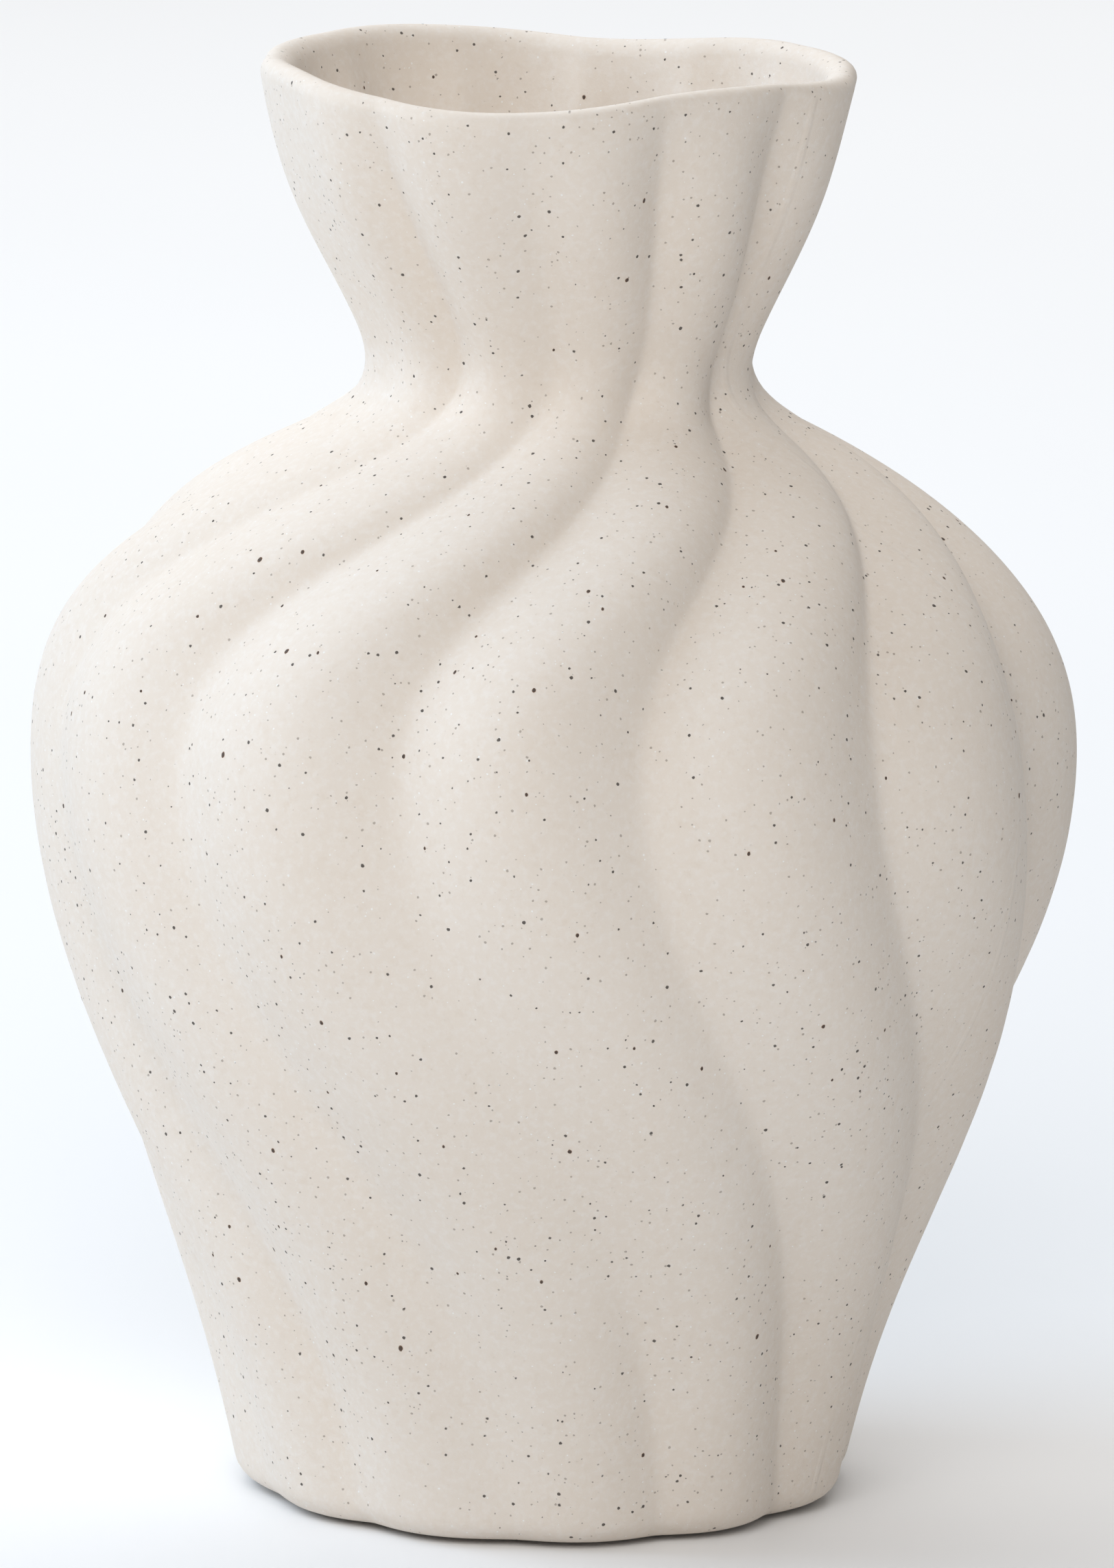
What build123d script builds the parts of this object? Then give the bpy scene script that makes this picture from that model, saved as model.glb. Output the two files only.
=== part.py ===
"""Stoneware vase with twelve soft folds that run from the foot to the lip.

Millimetres, +Z up, origin on the resting plane under the middle of the vase.
An azimuth of 0 looks along -Y and grows towards +X. Heights are measured from
the clay's underside, and a level is a height as a share of the clay's height.
"""
import os
from math import cos, pi, radians, sin, sqrt

from build123d import *

# Overall sizes
OVERALL_HEIGHT = 305.0
BELLY_RADIUS = 110.0
FOLD_COUNT = 12

# Clay: wall, lip, foot and floor
WALL = 6.5
LIP_RADIUS = 3.5
LIP_BLEND = 12.0
FOOT_ROUND = 5.0
FLOOR_THICKNESS = 8.0
FLOOR_ROUND = 12.0
RECESS_RADIUS = 40.0
RECESS_DEPTH = 2.5
RECESS_DRAFT = 2.0
RECESS_EDGE = 1.0

# Glaze inside, and pads under the foot
GLAZE_THICKNESS = 0.4
GLAZE_TOP_LEVEL = 0.863
PAD_COUNT = 4
PAD_DIAMETER = 10.0
PAD_THICKNESS = 1.0
PAD_EDGE = 0.3
PAD_RING_RADIUS = 47.5
PAD_FIRST_AZIMUTH = 45.0

# The mouth is out of round, and its lip rises and falls:
# (waves in one turn, size in mm, phase in degrees)
MOUTH_WAVES = [(1, 6.0, 50.0), (2, 2.0, 210.0), (3, 4.0, 70.0)]
LIP_WAVES = [(2, 0.8, 185.0), (3, 0.4, 260.0), (4, 1.0, 230.0)]
MOUTH_FROM = 0.80
LIP_WAVE_FROM = 0.87

# Radius over the crests: (level, share of the belly radius)
PROFILE = [
    (0.00, 0.585),
    (0.09, 0.645),
    (0.22, 0.770),
    (0.38, 0.934),
    (0.52, 1.000),
    (0.62, 0.925),
    (0.69, 0.735),
    (0.735, 0.545),
    (0.765, 0.41),
    (0.79, 0.375),
    (0.83, 0.405),
    (0.91, 0.505),
    (1.00, 0.560),
]
WAIST_LEVEL = 0.785

# Azimuth of crease 0 in degrees, by level
TURN = [
    (0.00, -6.0),
    (0.12, -12.0),
    (0.25, -24.0),
    (0.40, -40.0),
    (0.55, -48.0),
    (0.66, -40.0),
    (0.73, -20.0),
    (0.78, -5.0),
    (0.84, -2.0),
    (0.92, -5.0),
    (1.00, -6.0),
]

# Depth of the creases as a share of the radius over the crests, by level
CREASE_DEPTH = [
    (0.00, 0.030),
    (0.08, 0.046),
    (0.20, 0.050),
    (0.55, 0.054),
    (0.74, 0.072),
    (0.82, 0.058),
    (0.91, 0.070),
    (1.00, 0.020),
]
INNER_CREASE_SHARE = 0.85
LIP_CREASE_SHARE = 0.50

# The folds are not alike. For each crease: its shift in degrees at the foot, belly and
# neck, its depth against the others at the foot, lower belly, belly and neck, and its
# softness.
CREASES = [
    (0.5, 0.0, 0.0, 0.95, 1.10, 1.10, 0.75, 0.24),
    (0.0, 0.5, -2.5, 1.25, 0.35, 1.25, 1.05, 0.18),
    (-1.0, -1.5, 0.5, 1.50, 1.15, 1.35, 1.50, 0.15),
    (2.0, -1.5, 3.5, 1.20, 1.20, 1.30, 0.80, 0.12),
    (1.0, 1.0, 1.0, 0.90, 1.55, 1.50, 1.00, 0.13),
    (-1.5, 0.5, -2.0, 1.10, 0.85, 1.10, 0.85, 0.26),
    (0.5, -1.0, 1.5, 1.25, 0.60, 1.20, 1.05, 0.20),
    (1.5, 1.0, 0.5, 0.85, 0.95, 0.95, 0.95, 0.28),
    (-0.5, 1.5, -1.5, 1.05, 1.15, 1.05, 1.15, 0.22),
    (-1.5, -1.0, 1.0, 1.20, 0.80, 0.90, 0.80, 0.24),
    (0.5, -0.5, 2.0, 0.90, 0.60, 0.45, 0.35, 0.26),
    (-1.0, 1.0, 0.5, 1.40, 1.35, 0.80, 1.35, 0.17),
]
SHIFT_LEVELS = (0.05, 0.50, 0.82)
WEIGHT_LEVELS = (0.10, 0.32, 0.56, 0.72, 0.84)

# Places across one fold where a section has points, closest together at the creases
FOLD_STEPS = (0.0, 0.02, 0.055, 0.11, 0.21, 0.35, 0.5, 0.65, 0.79, 0.89, 0.945, 0.98, 1.0)
ARC_STEP = 30
SECTION_SPACING = 8.5
FIRST_GAP = 1.8
GAP_GROWTH = 1.5
SLOPE_STEP = 1.0
CUT_OVER = 1.5


def wave(waves, azimuth):
    """Sum of waves round the mouth at an azimuth in degrees."""
    return sum(size * cos(radians(count * azimuth + phase)) for count, size, phase in waves)


LIP_RISE = max(wave(LIP_WAVES, azimuth) for azimuth in range(360))
CLAY_HEIGHT = OVERALL_HEIGHT - PAD_THICKNESS - LIP_RISE
LIP_BASE = CLAY_HEIGHT - LIP_RADIUS
WAIST_HEIGHT = WAIST_LEVEL * CLAY_HEIGHT
GLAZE_TOP = GLAZE_TOP_LEVEL * CLAY_HEIGHT
FOLD_PITCH = 360.0 / FOLD_COUNT


def spline_through(points):
    """Return a natural cubic spline y(x) through the points."""
    xs = [x for x, _ in points]
    ys = [y for _, y in points]
    last = len(points) - 1
    gaps = [xs[i + 1] - xs[i] for i in range(last)]
    slopes = [(ys[i + 1] - ys[i]) / gaps[i] for i in range(last)]
    bends = [0.0] * (last + 1)
    factors = [0.0] * (last + 1)
    for i in range(1, last):
        pivot = 2.0 * (gaps[i - 1] + gaps[i]) - gaps[i - 1] * factors[i - 1]
        factors[i] = gaps[i] / pivot
        bends[i] = (6.0 * (slopes[i] - slopes[i - 1]) - gaps[i - 1] * bends[i - 1]) / pivot
    for i in range(last - 1, 0, -1):
        bends[i] -= factors[i] * bends[i + 1]

    def value(x):
        x = min(max(x, xs[0]), xs[-1])
        i = max(j for j in range(last) if xs[j] <= x)
        a = (xs[i + 1] - x) / gaps[i]
        b = 1.0 - a
        curve = (a**3 - a) * bends[i] + (b**3 - b) * bends[i + 1]
        return a * ys[i] + b * ys[i + 1] + curve * gaps[i] ** 2 / 6.0

    return value


profile = spline_through(PROFILE)
turn = spline_through(TURN)
crease_depth = spline_through(CREASE_DEPTH)


def ease(low, high, x):
    """Rise smoothly from 0 at low to 1 at high."""
    share = min(max((x - low) / (high - low), 0.0), 1.0)
    return share * share * (3.0 - 2.0 * share)


def crest_radius(level):
    """Radius over the crests of the folds."""
    return BELLY_RADIUS * profile(level)


def crease_at(index, level):
    """Azimuth, depth in mm and softness of one crease, counted on past the last."""
    foot, belly, neck, *weights, softness = CREASES[index % FOLD_COUNT]
    shift = foot + (belly - foot) * ease(SHIFT_LEVELS[0], SHIFT_LEVELS[1], level)
    shift += (neck - belly) * ease(SHIFT_LEVELS[1], SHIFT_LEVELS[2], level)
    at_foot, at_lower, at_belly, at_neck = weights
    weight = at_foot + (at_lower - at_foot) * ease(WEIGHT_LEVELS[0], WEIGHT_LEVELS[1], level)
    weight += (at_belly - at_lower) * ease(WEIGHT_LEVELS[1], WEIGHT_LEVELS[2], level)
    weight += (at_neck - at_belly) * ease(WEIGHT_LEVELS[3], WEIGHT_LEVELS[4], level)
    depth = crest_radius(level) * crease_depth(level) * weight
    return turn(level) + FOLD_PITCH * index + shift, depth, softness


def fold_point(index, share, height, inset, crease_share):
    """Point on a fold, a share of the way from its crease to the next one.

    inset is the distance inside the crests, crease_share scales the crease's depth.
    """
    level = height / CLAY_HEIGHT
    start, start_depth, start_softness = crease_at(index, level)
    end, end_depth, end_softness = crease_at(index + 1, level)
    azimuth = start + share * (end - start)
    depth = crease_share * (start_depth + share * (end_depth - start_depth))
    softness = start_softness + share * (end_softness - start_softness)
    full = sqrt(1.0 + softness**2) - softness
    rise = (sqrt(sin(pi * share) ** 2 + softness**2) - softness) / full
    out_of_round = ease(MOUTH_FROM, 1.0, level) * wave(MOUTH_WAVES, azimuth)
    radius = crest_radius(level) - inset - depth * (1.0 - rise) + out_of_round
    lift = ease(LIP_WAVE_FROM, 1.0, level) * wave(LIP_WAVES, azimuth)
    angle = radians(azimuth)
    return (radius * sin(angle), -radius * cos(angle), PAD_THICKNESS + height + lift)


def section(height, inset=0.0, crease_share=1.0):
    """Closed wire round the vase, with one edge for each fold."""
    edges = []
    for index in range(FOLD_COUNT):
        points = [fold_point(index, share, height, inset, crease_share) for share in FOLD_STEPS]
        edges.append(Edge.make_spline(points, parameters=list(FOLD_STEPS)))
    return Wire(edges)


def wall_inset(height, thickness=WALL):
    """Level distance from the crests to a surface that lies a thickness inside them."""
    above = crest_radius((height + SLOPE_STEP) / CLAY_HEIGHT)
    below = crest_radius((height - SLOPE_STEP) / CLAY_HEIGHT)
    return thickness * sqrt(1.0 + ((above - below) / (2.0 * SLOPE_STEP)) ** 2)


def distances(total):
    """Distances up to a total from a tight bend, close together near it and then even."""
    steps = []
    reach = 0.0
    gap = FIRST_GAP
    while gap < SECTION_SPACING:
        reach += gap
        steps.append(reach)
        gap *= GAP_GROWTH
    count = round((total - reach) / SECTION_SPACING)
    return steps + [reach + (total - reach) * i / count for i in range(1, count + 1)]


def quarter_round(radius):
    """Rises and insets on a quarter round that starts flat and ends upright."""
    turned = [radians(angle) for angle in range(0, 91, ARC_STEP)]
    return [(radius * (1.0 - cos(angle)), radius * (1.0 - sin(angle))) for angle in turned]


def lower_outside():
    """Solid inside the outer wall, from the rounded foot to the waist."""
    corner = [section(rise, inset) for rise, inset in quarter_round(FOOT_ROUND)]
    wall = [section(FOOT_ROUND + above) for above in distances(WAIST_HEIGHT - FOOT_ROUND)]
    return Solid.make_loft(corner + wall)


def neck():
    """Solid from the waist up and over the lip, with the mouth open to the glaze's top."""
    below_lip = distances(LIP_BASE - WAIST_HEIGHT)
    outside = [section(LIP_BASE - below) for below in reversed(below_lip)]
    lip = []
    for angle in range(0, 181, ARC_STEP):
        share = 1.0 - (1.0 - LIP_CREASE_SHARE) * angle / 180.0
        rise = LIP_RADIUS * sin(radians(angle))
        lip.append(section(LIP_BASE + rise, LIP_RADIUS * (1.0 - cos(radians(angle))), share))
    inside = []
    for below in distances(LIP_BASE - GLAZE_TOP):
        blend = ease(0.0, LIP_BLEND, below)
        height = LIP_BASE - below
        inset = 2.0 * LIP_RADIUS + blend * (wall_inset(height) - 2.0 * LIP_RADIUS)
        share = LIP_CREASE_SHARE + blend * (INNER_CREASE_SHARE - LIP_CREASE_SHARE)
        inside.append(section(height, inset, share))
    return Solid.make_loft(outside + lip + inside)


def hollow(glaze=0.0, over=0.0):
    """Solid that fills the inside up to the glaze's top, smaller by a glaze's thickness."""
    floor = FLOOR_THICKNESS + glaze
    sections = []
    for rise, inset in quarter_round(FLOOR_ROUND):
        inset += wall_inset(floor + rise, WALL + glaze)
        sections.append(section(floor + rise, inset, INNER_CREASE_SHARE))
    start = floor + FLOOR_ROUND
    for above in distances(GLAZE_TOP + over - start):
        inset = wall_inset(start + above, WALL + glaze)
        sections.append(section(start + above, inset, INNER_CREASE_SHARE))
    return Solid.make_loft(sections)


def stoneware_body():
    """Clay in one piece, with a shallow recess inside the foot ring."""
    body = lower_outside().fuse(neck()).cut(hollow())
    recess = Cone(
        RECESS_RADIUS,
        RECESS_RADIUS - RECESS_DRAFT,
        RECESS_DEPTH,
        align=(Align.CENTER, Align.CENTER, Align.MIN),
    )
    body = body.cut(Pos(0, 0, PAD_THICKNESS) * recess)
    rims = [
        edge
        for edge in body.edges().filter_by(GeomType.CIRCLE)
        if abs(edge.radius - RECESS_RADIUS) < RECESS_EDGE
    ]
    return body.fillet(RECESS_EDGE, rims)


def liner_glaze():
    """Skin of glaze over the inner wall and floor, open at the top."""
    return hollow().cut(hollow(GLAZE_THICKNESS, CUT_OVER))


def foot_pad(index):
    """Round felt pad under the foot ring, with a softened lower edge."""
    disc = Cylinder(
        PAD_DIAMETER / 2.0,
        PAD_THICKNESS,
        align=(Align.CENTER, Align.CENTER, Align.MIN),
    )
    disc = fillet(disc.edges().group_by(Axis.Z)[0], PAD_EDGE)
    azimuth = radians(PAD_FIRST_AZIMUTH + 360.0 * index / PAD_COUNT)
    return Pos(PAD_RING_RADIUS * sin(azimuth), -PAD_RING_RADIUS * cos(azimuth), 0) * disc


def build_parts():
    """Every sub-part by name."""
    parts = {"stoneware_body": stoneware_body(), "liner_glaze": liner_glaze()}
    for index in range(PAD_COUNT):
        parts[f"foot_pad_{index + 1}"] = foot_pad(index)
    return parts


os.makedirs("parts", exist_ok=True)
for name, shape in build_parts().items():
    export_step(shape, f"parts/{name}.step")
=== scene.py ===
"""Looks of the stoneware vase: twelve soft folds in matt speckled clay, glazed inside.

Metres, +Z up. An azimuth of 0 looks along -Y and grows towards +X. Heights are
measured from the clay's underside, and a level is a height as a share of the
clay's height.
"""
import math

import bpy
import numpy as np
from mathutils import Euler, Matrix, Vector


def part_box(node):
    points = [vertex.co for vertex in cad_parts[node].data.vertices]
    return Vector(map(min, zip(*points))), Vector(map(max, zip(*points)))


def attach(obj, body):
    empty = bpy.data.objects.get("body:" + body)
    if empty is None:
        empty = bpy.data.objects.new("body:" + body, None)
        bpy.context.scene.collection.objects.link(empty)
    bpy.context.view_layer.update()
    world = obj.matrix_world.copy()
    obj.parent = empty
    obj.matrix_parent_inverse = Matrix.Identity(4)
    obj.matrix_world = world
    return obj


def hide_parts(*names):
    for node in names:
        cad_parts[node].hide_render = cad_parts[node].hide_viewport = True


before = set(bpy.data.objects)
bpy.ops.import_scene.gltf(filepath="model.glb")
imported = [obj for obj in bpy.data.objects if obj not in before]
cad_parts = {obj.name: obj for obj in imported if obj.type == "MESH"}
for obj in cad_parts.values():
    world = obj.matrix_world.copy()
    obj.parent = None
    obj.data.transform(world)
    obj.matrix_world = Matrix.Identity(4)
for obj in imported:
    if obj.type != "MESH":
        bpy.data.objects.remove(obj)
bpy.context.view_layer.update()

MM = 0.001
SEED = 12

# ---------------------------------------------------------------- the vase's shape
PAD_THICKNESS = 1.0 * MM
OVERALL_HEIGHT = 305.0 * MM
BELLY_RADIUS = 110.0 * MM
FOLD_COUNT = 12
FOLD_PITCH = 360.0 / FOLD_COUNT

WALL = 6.5 * MM
LIP_RADIUS = 3.5 * MM
LIP_BLEND = 12.0 * MM
FOOT_ROUND = 5.0 * MM
FLOOR_THICKNESS = 8.0 * MM
FLOOR_ROUND = 12.0 * MM
RECESS_RADIUS = 40.0 * MM
RECESS_DEPTH = 2.5 * MM
RECESS_DRAFT = 2.0 * MM
RECESS_EDGE = 1.0 * MM
RECESS_RINGS = [8.0 * MM, 22.0 * MM, 34.0 * MM]
GLAZE_THICKNESS = 0.4 * MM
GLAZE_TOP_LEVEL = 0.863

# (waves in one turn, size in mm, phase in degrees)
MOUTH_WAVES = [(1, 6.0, 50.0), (2, 2.0, 210.0), (3, 4.0, 70.0)]
LIP_WAVES = [(2, 0.8, 185.0), (3, 0.4, 260.0), (4, 1.0, 230.0)]
MOUTH_FROM = 0.80
LIP_WAVE_FROM = 0.87

# Radius over the crests: (level, share of the belly radius)
PROFILE = [
    (0.00, 0.585),
    (0.09, 0.645),
    (0.22, 0.770),
    (0.38, 0.934),
    (0.52, 1.000),
    (0.62, 0.925),
    (0.69, 0.735),
    (0.735, 0.545),
    (0.765, 0.41),
    (0.79, 0.375),
    (0.83, 0.405),
    (0.91, 0.505),
    (1.00, 0.560),
]
# Azimuth of crease 0 in degrees, by level
TURN = [
    (0.00, -6.0),
    (0.12, -12.0),
    (0.25, -24.0),
    (0.40, -40.0),
    (0.55, -48.0),
    (0.66, -40.0),
    (0.73, -20.0),
    (0.78, -5.0),
    (0.84, -2.0),
    (0.92, -5.0),
    (1.00, -6.0),
]
# Depth of the creases as a share of the radius over the crests, by level
CREASE_DEPTH = [
    (0.00, 0.030),
    (0.08, 0.046),
    (0.20, 0.050),
    (0.55, 0.054),
    (0.74, 0.072),
    (0.82, 0.058),
    (0.91, 0.070),
    (1.00, 0.020),
]
INNER_CREASE_SHARE = 0.85
LIP_CREASE_SHARE = 0.50

# The folds are not alike. For each crease: its shift in degrees at the foot, belly and
# neck, its depth against the others at the foot, lower belly, belly and neck, and its
# softness.
CREASES = np.array([
    (0.5, 0.0, 0.0, 0.95, 1.10, 1.10, 0.75, 0.24),
    (0.0, 0.5, -2.5, 1.25, 0.35, 1.25, 1.05, 0.18),
    (-1.0, -1.5, 0.5, 1.50, 1.15, 1.35, 1.50, 0.15),
    (2.0, -1.5, 3.5, 1.20, 1.20, 1.30, 0.80, 0.12),
    (1.0, 1.0, 1.0, 0.90, 1.55, 1.50, 1.00, 0.13),
    (-1.5, 0.5, -2.0, 1.10, 0.85, 1.10, 0.85, 0.26),
    (0.5, -1.0, 1.5, 1.25, 0.60, 1.20, 1.05, 0.20),
    (1.5, 1.0, 0.5, 0.85, 0.95, 0.95, 0.95, 0.28),
    (-0.5, 1.5, -1.5, 1.05, 1.15, 1.05, 1.15, 0.22),
    (-1.5, -1.0, 1.0, 1.20, 0.80, 0.90, 0.80, 0.24),
    (0.5, -0.5, 2.0, 0.90, 0.60, 0.45, 0.35, 0.26),
    (-1.0, 1.0, 0.5, 1.40, 1.35, 0.80, 1.35, 0.17),
])
SHIFT_LEVELS = (0.05, 0.50, 0.82)
WEIGHT_LEVELS = (0.10, 0.32, 0.56, 0.72, 0.84)

# The camera's tilt about its view, in degrees
ROLL = 0.9

# Felt pads: points round each, unevenness of its edge, and its outline as shares of
# its radius and thickness
PAD_COLUMNS = 48
PAD_UNEVEN = 0.012
PAD_OUTLINE = [(0.45, 0.0), (0.9, 0.0), (0.975, 0.06), (1.0, 0.25), (1.0, 0.75), (0.99, 1.0), (0.5, 1.0)]

# Large iron specks: how many, their radii, how proud they stand, points round each,
# the share inside the neck, and the levels that they cover outside and inside
SPECK_COUNT = 190
SPECK_SIZES = (0.32 * MM, 0.62 * MM)
SPECK_RISE = 0.03 * MM
SPECK_CORNERS = 11
SPECKS_INSIDE = 0.12
SPECK_LEVELS = (0.02, 0.97)
SPECK_LEVELS_INSIDE = (0.88, 0.97)

# Where the mould's halves meet
SEAM_AZIMUTH = 62.0

# Mesh density
COLUMNS_PER_FOLD = 26
CREASE_CROWDING = 0.6
WALL_STEP = 1.8 * MM
INSIDE_STEP = 4.0 * MM


def wave(waves, azimuth):
    """Sum of waves round the mouth, in metres, at azimuths in degrees."""
    return sum(size * MM * np.cos(np.radians(count * azimuth + phase)) for count, size, phase in waves)


CLAY_HEIGHT = OVERALL_HEIGHT - PAD_THICKNESS - wave(LIP_WAVES, np.arange(360.0)).max()
LIP_BASE = CLAY_HEIGHT - LIP_RADIUS
GLAZE_TOP = GLAZE_TOP_LEVEL * CLAY_HEIGHT


def spline_through(points):
    """Return a natural cubic spline y(x) through the points, for arrays of x."""
    xs, ys = np.array(points).T
    gaps = np.diff(xs)
    slopes = np.diff(ys) / gaps
    matrix = np.eye(len(xs))
    target = np.zeros(len(xs))
    for i in range(1, len(xs) - 1):
        matrix[i, i - 1:i + 2] = gaps[i - 1], 2.0 * (gaps[i - 1] + gaps[i]), gaps[i]
        target[i] = 6.0 * (slopes[i] - slopes[i - 1])
    bends = np.linalg.solve(matrix, target)

    def value(x):
        x = np.clip(x, xs[0], xs[-1])
        i = np.clip(np.searchsorted(xs, x, side="right") - 1, 0, len(gaps) - 1)
        a = (xs[i + 1] - x) / gaps[i]
        b = 1.0 - a
        curve = (a**3 - a) * bends[i] + (b**3 - b) * bends[i + 1]
        return a * ys[i] + b * ys[i + 1] + curve * gaps[i] ** 2 / 6.0

    return value


profile = spline_through(PROFILE)
turn = spline_through(TURN)
crease_depth = spline_through(CREASE_DEPTH)


def ease(low, high, x):
    """Rise smoothly from 0 at low to 1 at high."""
    share = np.clip((x - low) / (high - low), 0.0, 1.0)
    return share * share * (3.0 - 2.0 * share)


def crest_radius(level):
    """Radius over the crests of the folds."""
    return BELLY_RADIUS * profile(level)


def crease_at(index, level):
    """Azimuth in degrees, depth and softness of creases, counted on past the last."""
    foot, belly, neck, *weights, softness = CREASES[index % FOLD_COUNT].T
    shift = foot + (belly - foot) * ease(SHIFT_LEVELS[0], SHIFT_LEVELS[1], level)
    shift = shift + (neck - belly) * ease(SHIFT_LEVELS[1], SHIFT_LEVELS[2], level)
    at_foot, at_lower, at_belly, at_neck = weights
    weight = at_foot + (at_lower - at_foot) * ease(WEIGHT_LEVELS[0], WEIGHT_LEVELS[1], level)
    weight = weight + (at_belly - at_lower) * ease(WEIGHT_LEVELS[1], WEIGHT_LEVELS[2], level)
    weight = weight + (at_neck - at_belly) * ease(WEIGHT_LEVELS[3], WEIGHT_LEVELS[4], level)
    depth = crest_radius(level) * crease_depth(level) * weight
    return turn(level) + FOLD_PITCH * index + shift, depth, softness


def fold_points(place, height, inset=0.0, crease_share=1.0):
    """Points on the folds, as an array of rings by columns by 3.

    place counts folds round the vase, with the share across a fold as its fraction.
    """
    height, inset, crease_share = [
        np.asarray(v, float).reshape(-1, 1) for v in np.broadcast_arrays(height, inset, crease_share)
    ]
    level = height / CLAY_HEIGHT
    index = np.floor(place).astype(int)
    share = place - index
    start, start_depth, start_softness = crease_at(index, level)
    end, end_depth, end_softness = crease_at(index + 1, level)
    azimuth = start + share * (end - start)
    depth = crease_share * (start_depth + share * (end_depth - start_depth))
    softness = start_softness + share * (end_softness - start_softness)
    full = np.sqrt(1.0 + softness**2) - softness
    rise = (np.sqrt(np.sin(np.pi * share) ** 2 + softness**2) - softness) / full
    out_of_round = ease(MOUTH_FROM, 1.0, level) * wave(MOUTH_WAVES, azimuth)
    radius = crest_radius(level) - inset - depth * (1.0 - rise) + out_of_round
    lift = ease(LIP_WAVE_FROM, 1.0, level) * wave(LIP_WAVES, azimuth)
    angle = np.radians(azimuth)
    return np.stack([radius * np.sin(angle), -radius * np.cos(angle), PAD_THICKNESS + height + lift], -1)


def wall_inset(height, thickness=WALL):
    """Level distance from the crests to a surface that lies a thickness inside them."""
    step = 1.0 * MM
    above = crest_radius((height + step) / CLAY_HEIGHT)
    below = crest_radius((height - step) / CLAY_HEIGHT)
    return thickness * np.sqrt(1.0 + ((above - below) / (2.0 * step)) ** 2)


def heights(low, high, step):
    """Heights from low to high, evenly spaced along the wall's slope."""
    fine = np.linspace(low, high, 2000)
    radius = crest_radius(fine / CLAY_HEIGHT)
    length = np.concatenate([[0.0], np.cumsum(np.hypot(np.diff(fine), np.diff(radius)))])
    return np.interp(np.linspace(0.0, length[-1], round(length[-1] / step) + 1), length, fine)


def fold_places():
    """Places round the vase for the mesh's columns, closer together at the creases."""
    even = np.arange(COLUMNS_PER_FOLD) / COLUMNS_PER_FOLD
    share = even - CREASE_CROWDING * np.sin(2.0 * np.pi * even) / (2.0 * np.pi)
    return (np.arange(FOLD_COUNT)[:, None] + share).ravel()


PLACES = fold_places()


def arc_rings(base, radius, angles, inset=0.0):
    """Heights and insets on a quarter round that ends upright at base + radius."""
    angles = np.radians(angles)
    return base + radius * (1.0 - np.cos(angles)), inset + radius * (1.0 - np.sin(angles))


def disc_rings(radii, height):
    """Round rings on the mesh's columns at one height each."""
    azimuth = np.arctan2(*(fold_points(PLACES, 0.0)[0, :, :2] * (1.0, -1.0)).T)
    radii, height = [np.asarray(v, float).reshape(-1, 1) for v in np.broadcast_arrays(radii, height)]
    ones = np.ones_like(azimuth)
    return np.stack([radii * np.sin(azimuth), -radii * np.cos(azimuth), height * ones], -1)


def between(first, last, shares):
    """Rings that pass evenly from one ring to another, ends left out."""
    return np.stack([first + (last - first) * share for share in shares])


def outside_rings():
    """Rings from the foot's flat, round its corner and up the outer wall to the lip."""
    corner = arc_rings(0.0, FOOT_ROUND, np.arange(0, 90, 15))
    wall = heights(FOOT_ROUND, LIP_BASE, WALL_STEP)
    return np.concatenate([fold_points(PLACES, *corner), fold_points(PLACES, wall)])


def lip_rings():
    """Rings over the rounded lip."""
    angles = np.arange(15, 180, 15.0)
    share = 1.0 - (1.0 - LIP_CREASE_SHARE) * angles / 180.0
    turned = np.radians(angles)
    return fold_points(
        PLACES,
        LIP_BASE + LIP_RADIUS * np.sin(turned),
        LIP_RADIUS * (1.0 - np.cos(turned)),
        share,
    )


def inside_wall(wall, thickness=WALL):
    """Rings of the inner wall at given heights."""
    blend = ease(0.0, LIP_BLEND, LIP_BASE - wall)
    inset = 2.0 * LIP_RADIUS + blend * (wall_inset(wall, thickness) - 2.0 * LIP_RADIUS)
    share = LIP_CREASE_SHARE + blend * (INNER_CREASE_SHARE - LIP_CREASE_SHARE)
    return fold_points(PLACES, wall, inset, share)


def floor_corner(thickness=WALL, floor=FLOOR_THICKNESS):
    """Rings from the inner wall down round the corner to the flat floor."""
    height, inset = arc_rings(floor, FLOOR_ROUND, np.arange(75, -1, -15))
    return fold_points(PLACES, height, wall_inset(height, thickness) + inset, INNER_CREASE_SHARE)


def inside_rings():
    """Rings from the lip down the inner wall and round to the flat floor."""
    wall = heights(FLOOR_THICKNESS + FLOOR_ROUND, LIP_BASE, INSIDE_STEP)[::-1]
    return np.concatenate([inside_wall(wall), floor_corner()])


def underside_rings(foot_edge):
    """Rings from the middle of the recess out to the foot's flat edge."""
    ceiling = PAD_THICKNESS + RECESS_DEPTH
    recess = disc_rings([*RECESS_RINGS, RECESS_RADIUS - RECESS_DRAFT - RECESS_EDGE], ceiling)
    turned = np.radians(np.arange(15, 91, 15.0))
    cove = disc_rings(
        RECESS_RADIUS - RECESS_DRAFT - RECESS_EDGE * (1.0 - np.sin(turned)),
        ceiling - RECESS_EDGE * (1.0 - np.cos(turned)),
    )
    edge = disc_rings(
        RECESS_RADIUS + RECESS_EDGE * (1.0 - np.cos(turned)),
        PAD_THICKNESS + RECESS_EDGE * (1.0 - np.sin(turned)),
    )
    flat = between(edge[-1], foot_edge, (0.25, 0.5, 0.75))
    return np.concatenate([recess, cove, edge, flat])


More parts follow.
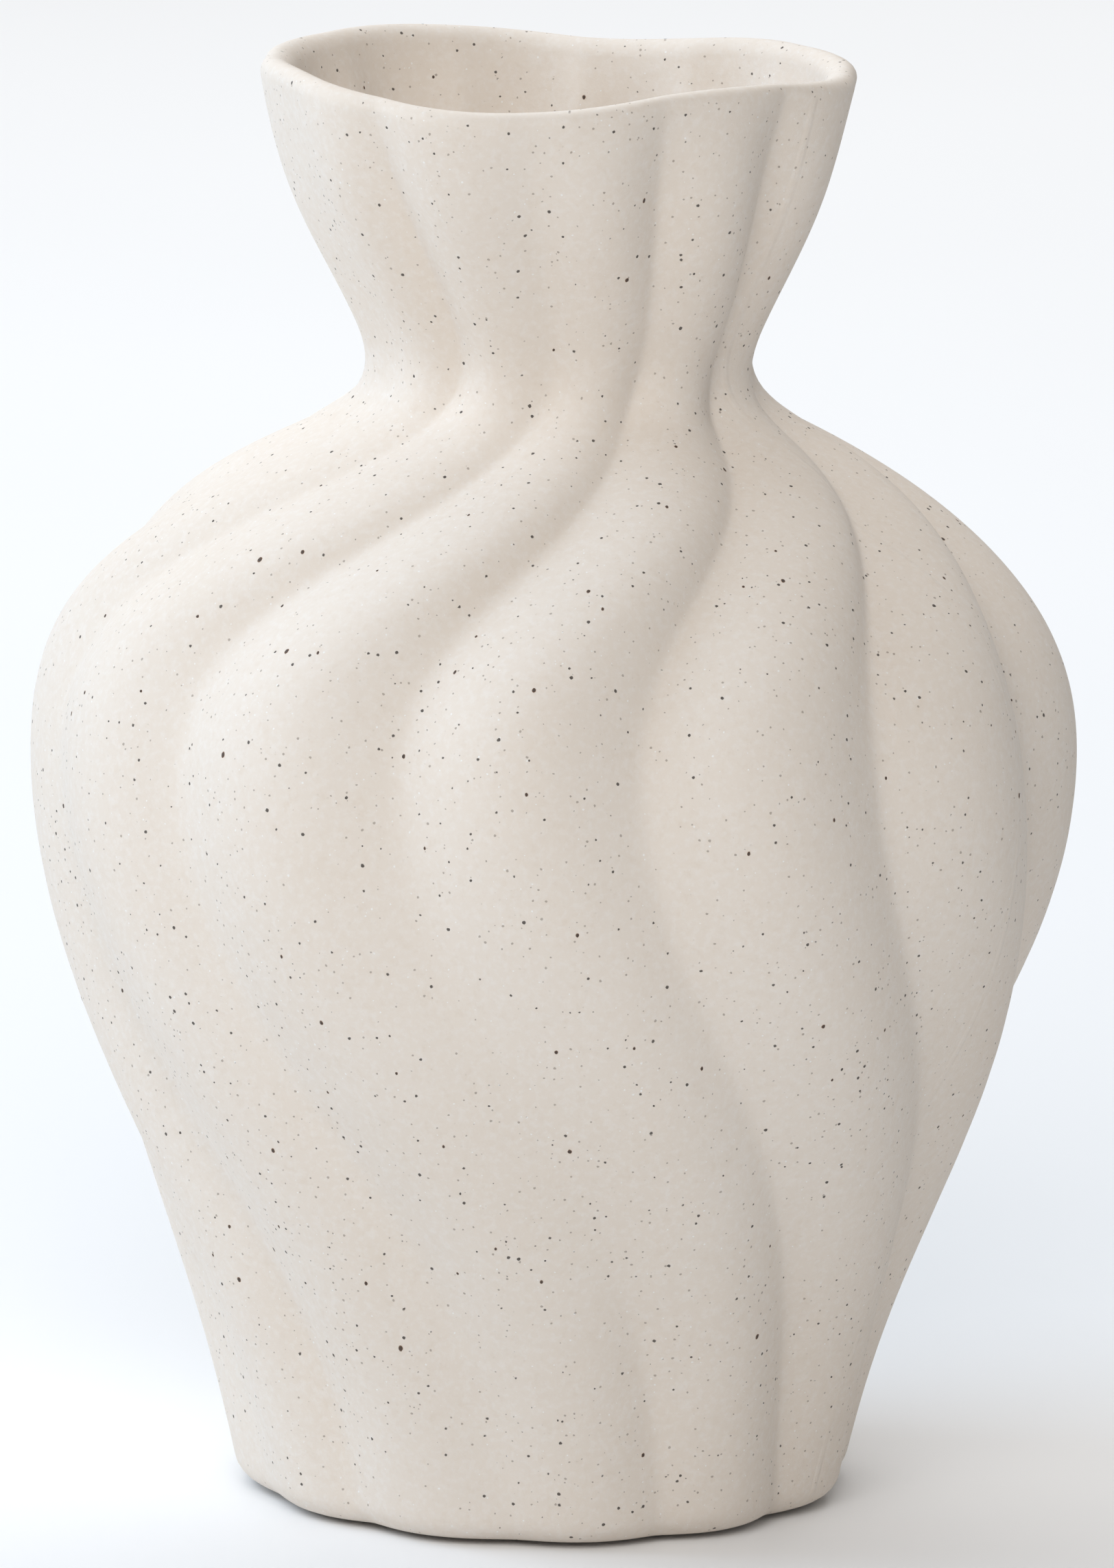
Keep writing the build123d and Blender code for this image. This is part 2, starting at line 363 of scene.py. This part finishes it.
# ---------------------------------------------------------------- mesh helpers
def new_object(name, points, faces, material):
    """Make a smooth-shaded mesh object from points and faces."""
    mesh = bpy.data.meshes.new(name)
    mesh.from_pydata(np.asarray(points).tolist(), [], faces)
    mesh.polygons.foreach_set("use_smooth", [True] * len(mesh.polygons))
    mesh.materials.append(material)
    mesh.update()
    item = bpy.data.objects.new(name, mesh)
    bpy.context.scene.collection.objects.link(item)
    return item


def mark(item, name, values):
    """Store one number for each point of a mesh."""
    layer = item.data.attributes.new(name, "FLOAT", "POINT")
    layer.data.foreach_set("value", np.asarray(values, dtype=np.float32))


def skin_faces(ring_count, columns, start=0):
    """Quads between closed rings that follow each other."""
    faces = []
    for ring in range(ring_count - 1):
        low = start + ring * columns
        high = low + columns
        for column in range(columns):
            after = (column + 1) % columns
            faces.append((low + column, low + after, high + after, high + column))
    return faces


def fan_faces(centre, ring_start, columns, flip=False):
    """Triangles from a centre point to a closed ring."""
    faces = []
    for column in range(columns):
        after = (column + 1) % columns
        pair = (ring_start + column, ring_start + after)
        faces.append((centre, *(pair[::-1] if flip else pair)))
    return faces


def closed_skin(rings):
    """Points and faces of a closed surface: rings, with a point at each end's middle."""
    count, columns = rings.shape[:2]
    points = rings.reshape(-1, 3)
    ends = []
    for ring in (rings[0], rings[-1]):
        middle = ring.mean(axis=0)
        middle[:2] = 0.0
        ends.append(middle)
    faces = skin_faces(count, columns)
    faces += fan_faces(len(points), 0, columns, flip=True)
    faces += fan_faces(len(points) + 1, (count - 1) * columns, columns)
    return np.concatenate([points, ends]), faces


# ---------------------------------------------------------------- materials
class Graph:
    """Short calls for building a material's nodes."""

    def __init__(self, name):
        """Start a material, with the place on the object as its coordinates."""
        self.material = bpy.data.materials.new(name)
        self.material.use_nodes = True
        self.tree = self.material.node_tree
        self.shader = self.tree.nodes["Principled BSDF"]
        self.place = self.node("ShaderNodeTexCoord").outputs["Object"]

    def node(self, kind, **settings):
        """A new node with its settings."""
        made = self.tree.nodes.new(kind)
        for key, value in settings.items():
            setattr(made, key, value)
        return made

    def link(self, source, target):
        """Join an output to an input."""
        self.tree.links.new(source, target)

    def put(self, target, value):
        """Link a socket or set a number or colour."""
        if isinstance(value, bpy.types.NodeSocket):
            self.link(value, target)
        else:
            target.default_value = value

    def math(self, operation, first, second=0.0):
        """One step of arithmetic on links or numbers."""
        made = self.node("ShaderNodeMath", operation=operation)
        for socket, value in zip(made.inputs, (first, second)):
            self.put(socket, value)
        return made.outputs[0]

    def noise(self, size, detail=2.0, roughness=0.5):
        """Noise with features about size metres across."""
        made = self.node("ShaderNodeTexNoise")
        self.link(self.place, made.inputs["Vector"])
        made.inputs["Scale"].default_value = 1.0 / size
        made.inputs["Detail"].default_value = detail
        made.inputs["Roughness"].default_value = roughness
        return made.outputs["Fac"]

    def spread(self, value, low, high, start=0.0, end=1.0, kind="SMOOTHSTEP"):
        """Map value from low..high to start..end."""
        made = self.node("ShaderNodeMapRange", interpolation_type=kind)
        for name, number in (("Value", value), ("From Min", low), ("From Max", high)):
            self.put(made.inputs[name], number)
        self.put(made.inputs["To Min"], start)
        self.put(made.inputs["To Max"], end)
        return made.outputs["Result"]

    def mix(self, share, first, second):
        """Mix two colours."""
        made = self.node("ShaderNodeMix", data_type="RGBA")
        self.put(made.inputs[0], share)
        self.put(made.inputs[6], first)
        self.put(made.inputs[7], second)
        return made.outputs[2]

    def shifted(self, size, amount):
        """The place, pushed about by noise, for uneven outlines."""
        made = self.node("ShaderNodeTexNoise")
        self.link(self.place, made.inputs["Vector"])
        made.inputs["Scale"].default_value = 1.0 / size
        scaled = self.node("ShaderNodeVectorMath", operation="SCALE")
        self.link(made.outputs["Color"], scaled.inputs[0])
        scaled.inputs["Scale"].default_value = amount
        added = self.node("ShaderNodeVectorMath", operation="ADD")
        self.link(self.place, added.inputs[0])
        self.link(scaled.outputs[0], added.inputs[1])
        return added.outputs[0]

    def grains(self, cell, radius, share, offset=0.0, edge=0.3):
        """Grains, one to a cell: 1 on a grain, for a share of the cells, with soft edges."""
        made = self.node("ShaderNodeTexVoronoi")
        place = self.shifted(0.5 * MM, 0.34 * MM)
        moved = self.node("ShaderNodeVectorMath", operation="ADD")
        self.link(place, moved.inputs[0])
        moved.inputs[1].default_value = (offset, offset, offset)
        self.link(moved.outputs[0], made.inputs["Vector"])
        made.inputs["Scale"].default_value = 1.0 / cell
        parts = self.node("ShaderNodeSeparateColor")
        self.link(made.outputs["Color"], parts.inputs[0])
        present = self.math("LESS_THAN", parts.outputs[0], share)
        size = self.spread(parts.outputs[1], 0.0, 1.0, 0.5 * radius / cell, radius / cell, "LINEAR")
        inside = self.math("SUBTRACT", 1.0, self.math("DIVIDE", made.outputs["Distance"], size))
        soft = self.spread(inside, 0.0, edge)
        return self.math("MULTIPLY", soft, present)

    def bump(self, height, distance, strength=1.0, normal=None):
        """Normal of a bumpy surface, on top of another normal if there is one."""
        made = self.node("ShaderNodeBump")
        made.inputs["Strength"].default_value = strength
        made.inputs["Distance"].default_value = distance
        self.link(height, made.inputs["Height"])
        if normal is not None:
            self.link(normal, made.inputs["Normal"])
        return made.outputs["Normal"]


CLAY = (0.788, 0.710, 0.627, 1.0)
CLAY_WARM = (0.738, 0.643, 0.545, 1.0)
CLAY_PALE = (0.840, 0.795, 0.745, 1.0)
IRON = (0.045, 0.034, 0.028, 1.0)
IRON_FAINT = (0.230, 0.180, 0.140, 1.0)
IRON_HALO = (0.330, 0.190, 0.110, 1.0)
GRAIN_WHITE = (0.900, 0.890, 0.870, 1.0)


def clay_colour(graph):
    """Colour of the bare clay: cloudy, finely mottled and speckled."""
    cloud = graph.spread(graph.noise(55 * MM, 3.0), 0.35, 0.7)
    colour = graph.mix(graph.math("MULTIPLY", cloud, 0.32), CLAY, CLAY_WARM)
    mottle = graph.spread(graph.noise(1.6 * MM, 4.0, 0.65), 0.42, 0.72)
    colour = graph.mix(graph.math("MULTIPLY", mottle, 0.42), colour, CLAY_PALE)
    dusk = graph.spread(graph.noise(2.4 * MM, 3.0, 0.65), 0.50, 0.78)
    colour = graph.mix(graph.math("MULTIPLY", dusk, 0.50), colour, CLAY_WARM)
    pale = graph.grains(1.9 * MM, 0.26 * MM, 0.55, 0.31)
    colour = graph.mix(graph.math("MULTIPLY", pale, 0.75), colour, GRAIN_WHITE)
    crowd = graph.spread(graph.noise(45 * MM, 2.0), 0.30, 0.70, 0.45, 1.15, "LINEAR")
    faint = graph.grains(1.8 * MM, 0.34 * MM, graph.math("MULTIPLY", crowd, 0.75), 0.17)
    colour = graph.mix(graph.math("MULTIPLY", faint, 0.60), colour, IRON_FAINT)
    small = graph.grains(3.0 * MM, 0.46 * MM, graph.math("MULTIPLY", crowd, 0.72))
    return graph.mix(graph.math("MULTIPLY", small, 0.90), colour, IRON)


def seam_height(graph):
    """The mould's seam: a faint raised line in one upright plane, on the outside only."""
    across = graph.node("ShaderNodeVectorMath", operation="DOT_PRODUCT")
    graph.link(graph.place, across.inputs[0])
    turned = math.radians(SEAM_AZIMUTH)
    across.inputs[1].default_value = (math.cos(turned), math.sin(turned), 0.0)
    away = graph.math("ABSOLUTE", across.outputs["Value"])
    ridge = graph.spread(away, 0.2 * MM, 1.1 * MM, 1.0, 0.0)
    worn = graph.spread(graph.noise(25 * MM, 2.0), 0.40, 0.62, 0.1, 1.0)
    outside = graph.node("ShaderNodeAttribute", attribute_name="outside").outputs["Fac"]
    return graph.math("MULTIPLY", graph.math("MULTIPLY", ridge, worn), outside)


def stoneware():
    """Dry matt clay with iron specks, fine pits, a sanded grain and a worn mould seam."""
    graph = Graph("stoneware")
    graph.link(clay_colour(graph), graph.shader.inputs["Base Color"])
    rough = graph.spread(graph.noise(3.0 * MM, 3.0), 0.3, 0.7, 0.74, 0.92)
    graph.link(rough, graph.shader.inputs["Roughness"])
    graph.shader.inputs["Specular IOR Level"].default_value = 0.28
    grain = graph.noise(0.8 * MM, 5.0, 0.65)
    soft = graph.noise(8.0 * MM, 2.0)
    pits = graph.math("MULTIPLY", graph.grains(2.2 * MM, 0.26 * MM, 0.4, 0.53), -1.0)
    normal = graph.bump(soft, 0.25 * MM, 0.8)
    normal = graph.bump(grain, 0.06 * MM, 1.0, normal)
    normal = graph.bump(pits, 0.08 * MM, 0.8, normal)
    normal = graph.bump(seam_height(graph), 0.12 * MM, 1.0, normal)
    graph.link(normal, graph.shader.inputs["Normal"])
    return graph.material


def iron():
    """Melted iron speck, dark in the middle with a rusty edge."""
    graph = Graph("iron")
    rim = graph.node("ShaderNodeAttribute", attribute_name="rim").outputs["Fac"]
    burnt = graph.spread(graph.noise(0.3 * MM, 3.0), 0.35, 0.65)
    middle = graph.mix(burnt, IRON, (0.090, 0.062, 0.045, 1.0))
    edge = graph.mix(graph.spread(rim, 0.45, 1.0), middle, IRON_HALO)
    graph.link(edge, graph.shader.inputs["Base Color"])
    graph.link(graph.spread(burnt, 0.0, 1.0, 0.55, 0.85), graph.shader.inputs["Roughness"])
    return graph.material


def inner_glaze():
    """Clear glossy glaze over the clay, with its own slow ripple."""
    graph = Graph("inner_glaze")
    cloud = graph.spread(graph.noise(30 * MM, 3.0), 0.35, 0.7)
    colour = graph.mix(cloud, (0.66, 0.60, 0.52, 1.0), (0.60, 0.53, 0.44, 1.0))
    fine = graph.grains(4.2 * MM, 0.42 * MM, 0.80)
    colour = graph.mix(graph.math("MULTIPLY", fine, 0.7), colour, IRON)
    graph.link(colour, graph.shader.inputs["Base Color"])
    graph.shader.inputs["Roughness"].default_value = 0.22
    graph.shader.inputs["Coat Weight"].default_value = 0.8
    graph.shader.inputs["Coat Roughness"].default_value = 0.08
    ripple = graph.noise(14 * MM, 2.0)
    graph.link(graph.bump(ripple, 0.4 * MM, 0.5), graph.shader.inputs["Normal"])
    return graph.material


def felt():
    """Pressed wool felt with matted fibres."""
    graph = Graph("felt")
    fibre = graph.noise(0.35 * MM, 6.0, 0.75)
    clump = graph.noise(1.8 * MM, 3.0, 0.6)
    colour = graph.mix(graph.spread(fibre, 0.35, 0.65), (0.30, 0.27, 0.23, 1.0), (0.46, 0.42, 0.37, 1.0))
    colour = graph.mix(graph.spread(clump, 0.4, 0.7, 0.0, 0.35), colour, (0.52, 0.48, 0.43, 1.0))
    graph.link(colour, graph.shader.inputs["Base Color"])
    graph.link(graph.spread(fibre, 0.0, 1.0, 0.88, 1.0), graph.shader.inputs["Roughness"])
    graph.shader.inputs["Sheen Weight"].default_value = 0.35
    graph.link(graph.bump(fibre, 0.15 * MM, 0.8), graph.shader.inputs["Normal"])
    return graph.material


def paper_white():
    """Matt pale studio floor."""
    graph = Graph("studio_floor")
    tone = graph.spread(graph.noise(0.8, 2.0), 0.3, 0.7)
    colour = graph.mix(tone, (0.86, 0.86, 0.86, 1.0), (0.88, 0.88, 0.88, 1.0))
    graph.link(colour, graph.shader.inputs["Base Color"])
    graph.shader.inputs["Roughness"].default_value = 0.9
    return graph.material


# ---------------------------------------------------------------- pieces
def build_body(material):
    """The clay in one piece, closed all round."""
    outside = outside_rings()
    lip = lip_rings()
    inside = inside_rings()
    rings = np.concatenate([underside_rings(outside[0]), outside, lip, inside])
    points, faces = closed_skin(rings)
    body = new_object("vase_body", points, faces, material)
    outer = np.zeros(len(points))
    first = len(rings) - len(outside) - len(lip) - len(inside)
    outer[first * len(PLACES):(first + len(outside)) * len(PLACES)] = 1.0
    mark(body, "outside", outer)
    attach(body, "root")
    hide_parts("stoneware_body")


def wall_point(place, height, inside):
    """Point and unit normal on the outer or inner wall at one place and height."""
    def at(place, height):
        inset = wall_inset(height) if inside else 0.0
        return fold_points(np.array([place]), height, inset, INNER_CREASE_SHARE if inside else 1.0)[0, 0]

    point = at(place, height)
    along = at(place + 0.002, height) - point
    up = at(place, height + 0.2 * MM) - point
    normal = np.cross(along, up)
    normal /= np.linalg.norm(normal)
    return point, -normal if inside else normal


def speck(point, normal, radius, rng):
    """Points and rim values of one low, uneven lens that sits in the clay."""
    side = np.cross(normal, (0.0, 0.0, 1.0))
    side /= np.linalg.norm(side)
    other = np.cross(normal, side)
    angle = np.arange(SPECK_CORNERS) * 2.0 * np.pi / SPECK_CORNERS + rng.random()
    stretch = 1.0 + 0.45 * rng.random()
    reach = radius * (0.82 + 0.18 * rng.random(SPECK_CORNERS))
    flat = np.outer(reach * np.cos(angle), side) + np.outer(reach * stretch * np.sin(angle), other)
    rings = [
        point - 2.0 * SPECK_RISE * normal + 0.7 * flat,
        point + flat,
        point + 0.7 * SPECK_RISE * normal + 0.6 * flat,
    ]
    points = np.concatenate([*rings, [point - 2.0 * SPECK_RISE * normal], [point + SPECK_RISE * normal]])
    rim = np.concatenate([np.repeat((1.0, 1.0, 0.45), SPECK_CORNERS), (1.0, 0.0)])
    return points, rim


def build_specks(material, rng):
    """The largest iron specks, scattered over the wall and inside the neck."""
    points = []
    rims = []
    faces = []
    while len(points) < SPECK_COUNT:
        inside = rng.random() < SPECKS_INSIDE
        level = rng.uniform(*(SPECK_LEVELS_INSIDE if inside else SPECK_LEVELS))
        if not inside and rng.random() > crest_radius(level) / BELLY_RADIUS:
            continue
        radius = SPECK_SIZES[0] + (SPECK_SIZES[1] - SPECK_SIZES[0]) * rng.random() ** 2.2
        place = rng.uniform(0.0, FOLD_COUNT)
        made, rim = speck(*wall_point(place, level * CLAY_HEIGHT, inside), radius, rng)
        start = len(points) * len(made)
        faces += skin_faces(3, SPECK_CORNERS, start)
        top = start + 2 * SPECK_CORNERS
        middles = start + 3 * SPECK_CORNERS
        faces += fan_faces(middles, start, SPECK_CORNERS, flip=True)
        faces += fan_faces(middles + 1, top, SPECK_CORNERS)
        points.append(made)
        rims.append(rim)
    specks = new_object("iron_specks", np.concatenate(points), faces, material)
    mark(specks, "rim", np.concatenate(rims))
    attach(specks, "root")


def build_glaze(material):
    """The glaze's skin on the inner wall and floor."""
    inner_floor = FLOOR_THICKNESS + GLAZE_THICKNESS
    wall = heights(inner_floor + FLOOR_ROUND, GLAZE_TOP, INSIDE_STEP)
    hidden = 0.3 * MM
    inner = np.concatenate([
        floor_corner(WALL + GLAZE_THICKNESS, inner_floor)[::-1],
        inside_wall(wall, WALL + GLAZE_THICKNESS),
    ])
    outer = np.concatenate([
        inside_wall(wall[::-1] - hidden, WALL - hidden),
        floor_corner(WALL - hidden, FLOOR_THICKNESS - hidden),
    ])
    points, faces = closed_skin(np.concatenate([inner, outer])[::-1])
    glaze = new_object("glaze_lining", points, faces, material)
    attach(glaze, "root")
    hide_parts("liner_glaze")


def build_pad(node, material, rng):
    """One felt pad with a soft, slightly uneven edge."""
    low, high = [np.array(corner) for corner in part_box(node)]
    middle = (low + high) / 2.0
    radius = (high[0] - low[0]) / 2.0
    angle = np.arange(PAD_COLUMNS) * 2.0 * np.pi / PAD_COLUMNS
    uneven = 1.0 - PAD_UNEVEN * rng.random(PAD_COLUMNS)
    rings = []
    for share, rise in PAD_OUTLINE:
        reach = radius * share * uneven
        rings.append(np.stack([
            middle[0] + reach * np.cos(angle),
            middle[1] + reach * np.sin(angle),
            np.full(PAD_COLUMNS, low[2] + rise * (high[2] - low[2])),
        ], -1))
    rings = np.stack(rings)
    points = np.concatenate([rings.reshape(-1, 3), [rings[0].mean(axis=0)], [rings[-1].mean(axis=0)]])
    faces = skin_faces(len(rings), PAD_COLUMNS)
    faces += fan_faces(len(points) - 2, 0, PAD_COLUMNS, flip=True)
    faces += fan_faces(len(points) - 1, (len(rings) - 1) * PAD_COLUMNS, PAD_COLUMNS)
    pad = new_object(f"felt_{node}", points, faces, material)
    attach(pad, "root")
    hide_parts(node)


# ---------------------------------------------------------------- studio
def build_floor(material):
    """Wide pale floor, open on every side so that the vase can be seen all round."""
    corners = 64
    reach = 30.0
    angle = np.arange(corners) * 2.0 * np.pi / corners
    rings = [
        np.stack([radius * np.cos(angle), radius * np.sin(angle), 0.0 * angle], -1)
        for radius in (0.5, 2.0, 6.0, reach)
    ]
    points = np.concatenate([*rings, [(0.0, 0.0, 0.0)]])
    faces = skin_faces(len(rings), corners)
    faces = [face[::-1] for face in faces] + fan_faces(len(points) - 1, 0, corners)
    floor = new_object("studio_floor", points, faces, material)


def area_light(name, place, target, size, power, colour):
    """Soft rectangular light aimed at a point."""
    lamp = bpy.data.lights.new(name, "AREA")
    lamp.shape = "RECTANGLE"
    lamp.size, lamp.size_y = size
    lamp.energy = power
    lamp.color = colour
    item = bpy.data.objects.new(name, lamp)
    item.location = place
    item.rotation_euler = (Vector(target) - Vector(place)).to_track_quat("-Z", "Y").to_euler()
    bpy.context.scene.collection.objects.link(item)


def build_studio():
    """A large cool key on the left, a warmer front light and one over the floor behind."""
    world = bpy.data.worlds.new("studio")
    bpy.context.scene.world = world
    world.use_nodes = True
    world.node_tree.nodes["Background"].inputs[0].default_value = (0.975, 0.985, 1.0, 1.0)
    world.node_tree.nodes["Background"].inputs[1].default_value = 0.26
    middle = Vector((0.0, 0.0, OVERALL_HEIGHT / 2.0))
    far_floor = Vector((0.0, 1.6, 0.0))
    # name, target, azimuth, elevation, distance, size, power and colour
    lights = (
        ("key", middle, -97.0, 33.0, 2.0, (1.4, 1.6), 24.0, (0.83, 0.99, 1.18)),
        ("front", middle, -8.0, 38.0, 2.5, (1.5, 1.5), 29.0, (1.0, 0.985, 0.970)),
        ("floor_light", far_floor, 180.0, 75.0, 2.4, (3.2, 2.6), 56.0, (1.0, 1.0, 1.0)),
    )
    for name, target, azimuth, elevation, distance, *rest in lights:
        tilt = Euler((math.radians(90.0 - elevation), 0.0, math.radians(azimuth)))
        place = target + distance * (tilt.to_matrix() @ Vector((0.0, 0.0, 1.0)))
        area_light(name, place, target, *rest)


def build_camera():
    """Long-lens camera a little above the mouth."""
    sensor = 36.0
    lens = 319.5
    distance = 9.5 * CLAY_HEIGHT
    rise = 2.335 * CLAY_HEIGHT
    data = bpy.data.cameras.new("camera")
    data.sensor_width = sensor
    data.lens = lens
    data.clip_end = 50.0
    item = bpy.data.objects.new("camera", data)
    item.location = (0.0, -distance, PAD_THICKNESS + rise)
    aim = Vector((0.9 * MM, 0.0, PAD_THICKNESS + 0.5 * CLAY_HEIGHT - 2.0 * MM))
    looking = (aim - item.location).to_track_quat("-Z", "Y")
    item.rotation_euler = (looking @ Euler((0.0, 0.0, math.radians(ROLL))).to_quaternion()).to_euler()
    bpy.context.scene.collection.objects.link(item)
    bpy.context.scene.camera = item


def build_all():
    """Materials, pieces, floor, lights and camera."""
    rng = np.random.default_rng(SEED)
    clay = stoneware()
    build_body(clay)
    build_specks(iron(), rng)
    build_glaze(inner_glaze())
    wool = felt()
    for node in sorted(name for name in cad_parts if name.startswith("foot_pad")):
        build_pad(node, wool, rng)
    build_floor(paper_white())
    build_studio()
    build_camera()
    bpy.context.scene.view_settings.view_transform = "Standard"


build_all()
